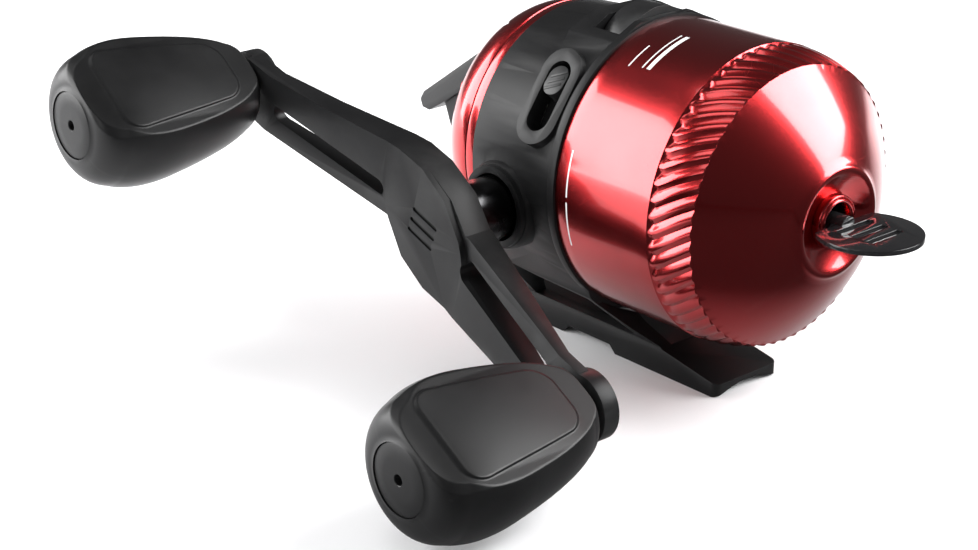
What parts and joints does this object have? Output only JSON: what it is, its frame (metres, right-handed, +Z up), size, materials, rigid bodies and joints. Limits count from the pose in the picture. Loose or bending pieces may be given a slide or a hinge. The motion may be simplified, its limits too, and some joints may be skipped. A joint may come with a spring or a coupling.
{
  "type": "spincast fishing reel",
  "caption": "Closed-face spincast fishing reel with a two-knob crank handle, thumb button, drag wheel and rod foot, taken apart into covers, gears, spool and shafts.",
  "frame": {"origin": "middle of the foot's seat, on the plane its two ends rest on", "axes": "+Z up through the spool axis, -Y towards the nose that the line leaves, -X towards the crank handle"},
  "size_m": [0.1064, 0.121, 0.0608],
  "materials": {
    "red_anodised": "polished, red anodised",
    "body_plastic": "fine matte black",
    "button_plastic": "satin black",
    "switch_plastic": "satin black",
    "knob_plastic": "soft-touch satin black",
    "handle_metal": "satin black paint",
    "gloss_tab": "gloss black",
    "black_chrome": "polished black nickel",
    "steel": "ground",
    "screw_steel": "zinc plated",
    "brass": "machined",
    "gear_metal": "die cast zinc, machined teeth",
    "cast_metal": "die cast, satin",
    "acetal": "white acetal",
    "drag_felt": "oiled felt",
    "seal_rubber": "matte",
    "fishing_line": "clear nylon line"
  },
  "bodies": {
    "housing": {"body_housing": "body_plastic", "front_cover": "red_anodised", "line_guide_ring": "red_anodised", "cover_seal": "seal_rubber", "rear_cover": "red_anodised", "rear_cover_screws": "screw_steel", "deck_plate": "cast_metal", "deck_screws": "screw_steel", "pinion_bearing": "brass", "crank_bush_right": "brass", "crank_bush_left": "brass", "left_bearing_cap": "body_plastic", "drag_axle": "steel", "spool_clip": "steel", "button_pin": "steel"},
    "crank": {"crank_shaft": "steel", "drive_gear": "gear_metal", "ratchet_wheel": "steel", "crank_clip": "steel", "hub_sleeve": "handle_metal", "handle_arm": "handle_metal", "knob_spindle_near": "steel", "knob_spindle_far": "steel"},
    "near_knob": {"knob_near": "knob_plastic", "knob_cap_near": "knob_plastic"},
    "far_knob": {"knob_far": "knob_plastic", "knob_cap_far": "knob_plastic"},
    "pinion": {"pinion_gear": "brass", "shaft_spring": "steel"},
    "shaft": {"center_shaft": "steel", "shaft_clip": "steel", "spinner_head": "cast_metal", "head_nut": "brass"},
    "pickup": {"pickup_pin": "steel"},
    "thumb": {"thumb_button": "button_plastic"},
    "spool": {"line_spool": "cast_metal", "line_winding": "fishing_line", "click_gear": "acetal", "drag_washer": "drag_felt"},
    "drag_dial": {"drag_wheel": "switch_plastic"},
    "drag_plate": {"pressure_plate": "steel"},
    "switch": {"bite_switch": "switch_plastic"},
    "clicker": {"clicker_pawl": "acetal"},
    "anti_reverse": {"anti_reverse_pawl": "steel"},
    "keeper": {"line_tab": "gloss_tab"}
  },
  "joints": [
    {"name": "crank_spin", "type": "hinge", "parent": "housing", "child": "crank", "pos_m": [0, 0.0047, 0.02846], "axis": [1, 0, 0], "continuous": true},
    {"name": "near_knob_spin", "type": "hinge", "parent": "crank", "child": "near_knob", "pos_m": [0, -0.03717, 0.01281], "axis": [1, 0, 0], "continuous": true},
    {"name": "far_knob_spin", "type": "hinge", "parent": "crank", "child": "far_knob", "pos_m": [0, 0.04657, 0.04411], "axis": [1, 0, 0], "continuous": true},
    {"name": "pinion_spin", "type": "hinge", "parent": "housing", "child": "pinion", "pos_m": [0, 0, 0.0343], "axis": [0, 1, 0], "continuous": true},
    {"name": "thumb_press", "type": "hinge", "parent": "housing", "child": "thumb", "pos_m": [0, 0.0185, 0.0478], "axis": [-1, 0, 0], "range_deg": [0, 8], "stiffness_Nm_per_rad": 0.8, "springref_deg": -5.73},
    {"name": "shaft_slide", "type": "slide", "parent": "pinion", "child": "shaft", "axis": [0, -1, 0], "range_m": [0, 0.0019], "deforming": ["shaft_spring"]},
    {"name": "pickup_slide", "type": "slide", "parent": "shaft", "child": "pickup", "axis": [0, 0, -1], "range_m": [0, 0.00161]},
    {"name": "spool_spin", "type": "hinge", "parent": "housing", "child": "spool", "pos_m": [0, 0, 0.0343], "axis": [0, 1, 0], "continuous": true},
    {"name": "drag_turn", "type": "hinge", "parent": "housing", "child": "drag_dial", "pos_m": [0, 0, 0.0514], "axis": [0, 1, 0], "range_deg": [0, 270]},
    {"name": "drag_press", "type": "slide", "parent": "housing", "child": "drag_plate", "axis": [0, -1, 0], "range_m": [0, 0.0003]},
    {"name": "switch_slide", "type": "hinge", "parent": "housing", "child": "switch", "pos_m": [0, 0, 0.0343], "axis": [0, -1, 0], "range_deg": [0, 12]},
    {"name": "clicker_swing", "type": "hinge", "parent": "housing", "child": "clicker", "pos_m": [-0.01654, -0.013, 0.04385], "axis": [0, -1, 0], "range_deg": [0, 5]},
    {"name": "pawl_swing", "type": "hinge", "parent": "housing", "child": "anti_reverse", "pos_m": [-0.0115, 0.0112, 0.02166], "axis": [-1, 0, 0], "range_deg": [0, 5], "stiffness_Nm_per_rad": 0.002, "springref_deg": -5.73},
    {"name": "keeper_pull", "type": "slide", "parent": "housing", "child": "keeper", "axis": [0, -1, 0], "range_m": [0, 0.03]}
  ],
  "couplings": [
    {"joint": "pinion_spin", "follows": "crank_spin", "ratio": -4.2222},
    {"joint": "shaft_slide", "follows": "thumb_press", "m_per_rad": 0.0135},
    {"joint": "pickup_slide", "follows": "thumb_press", "m_per_rad": 0.0114},
    {"joint": "drag_press", "follows": "drag_turn", "m_per_rad": 0.000063},
    {"joint": "clicker_swing", "follows": "switch_slide", "ratio": 0.41}
  ]
}
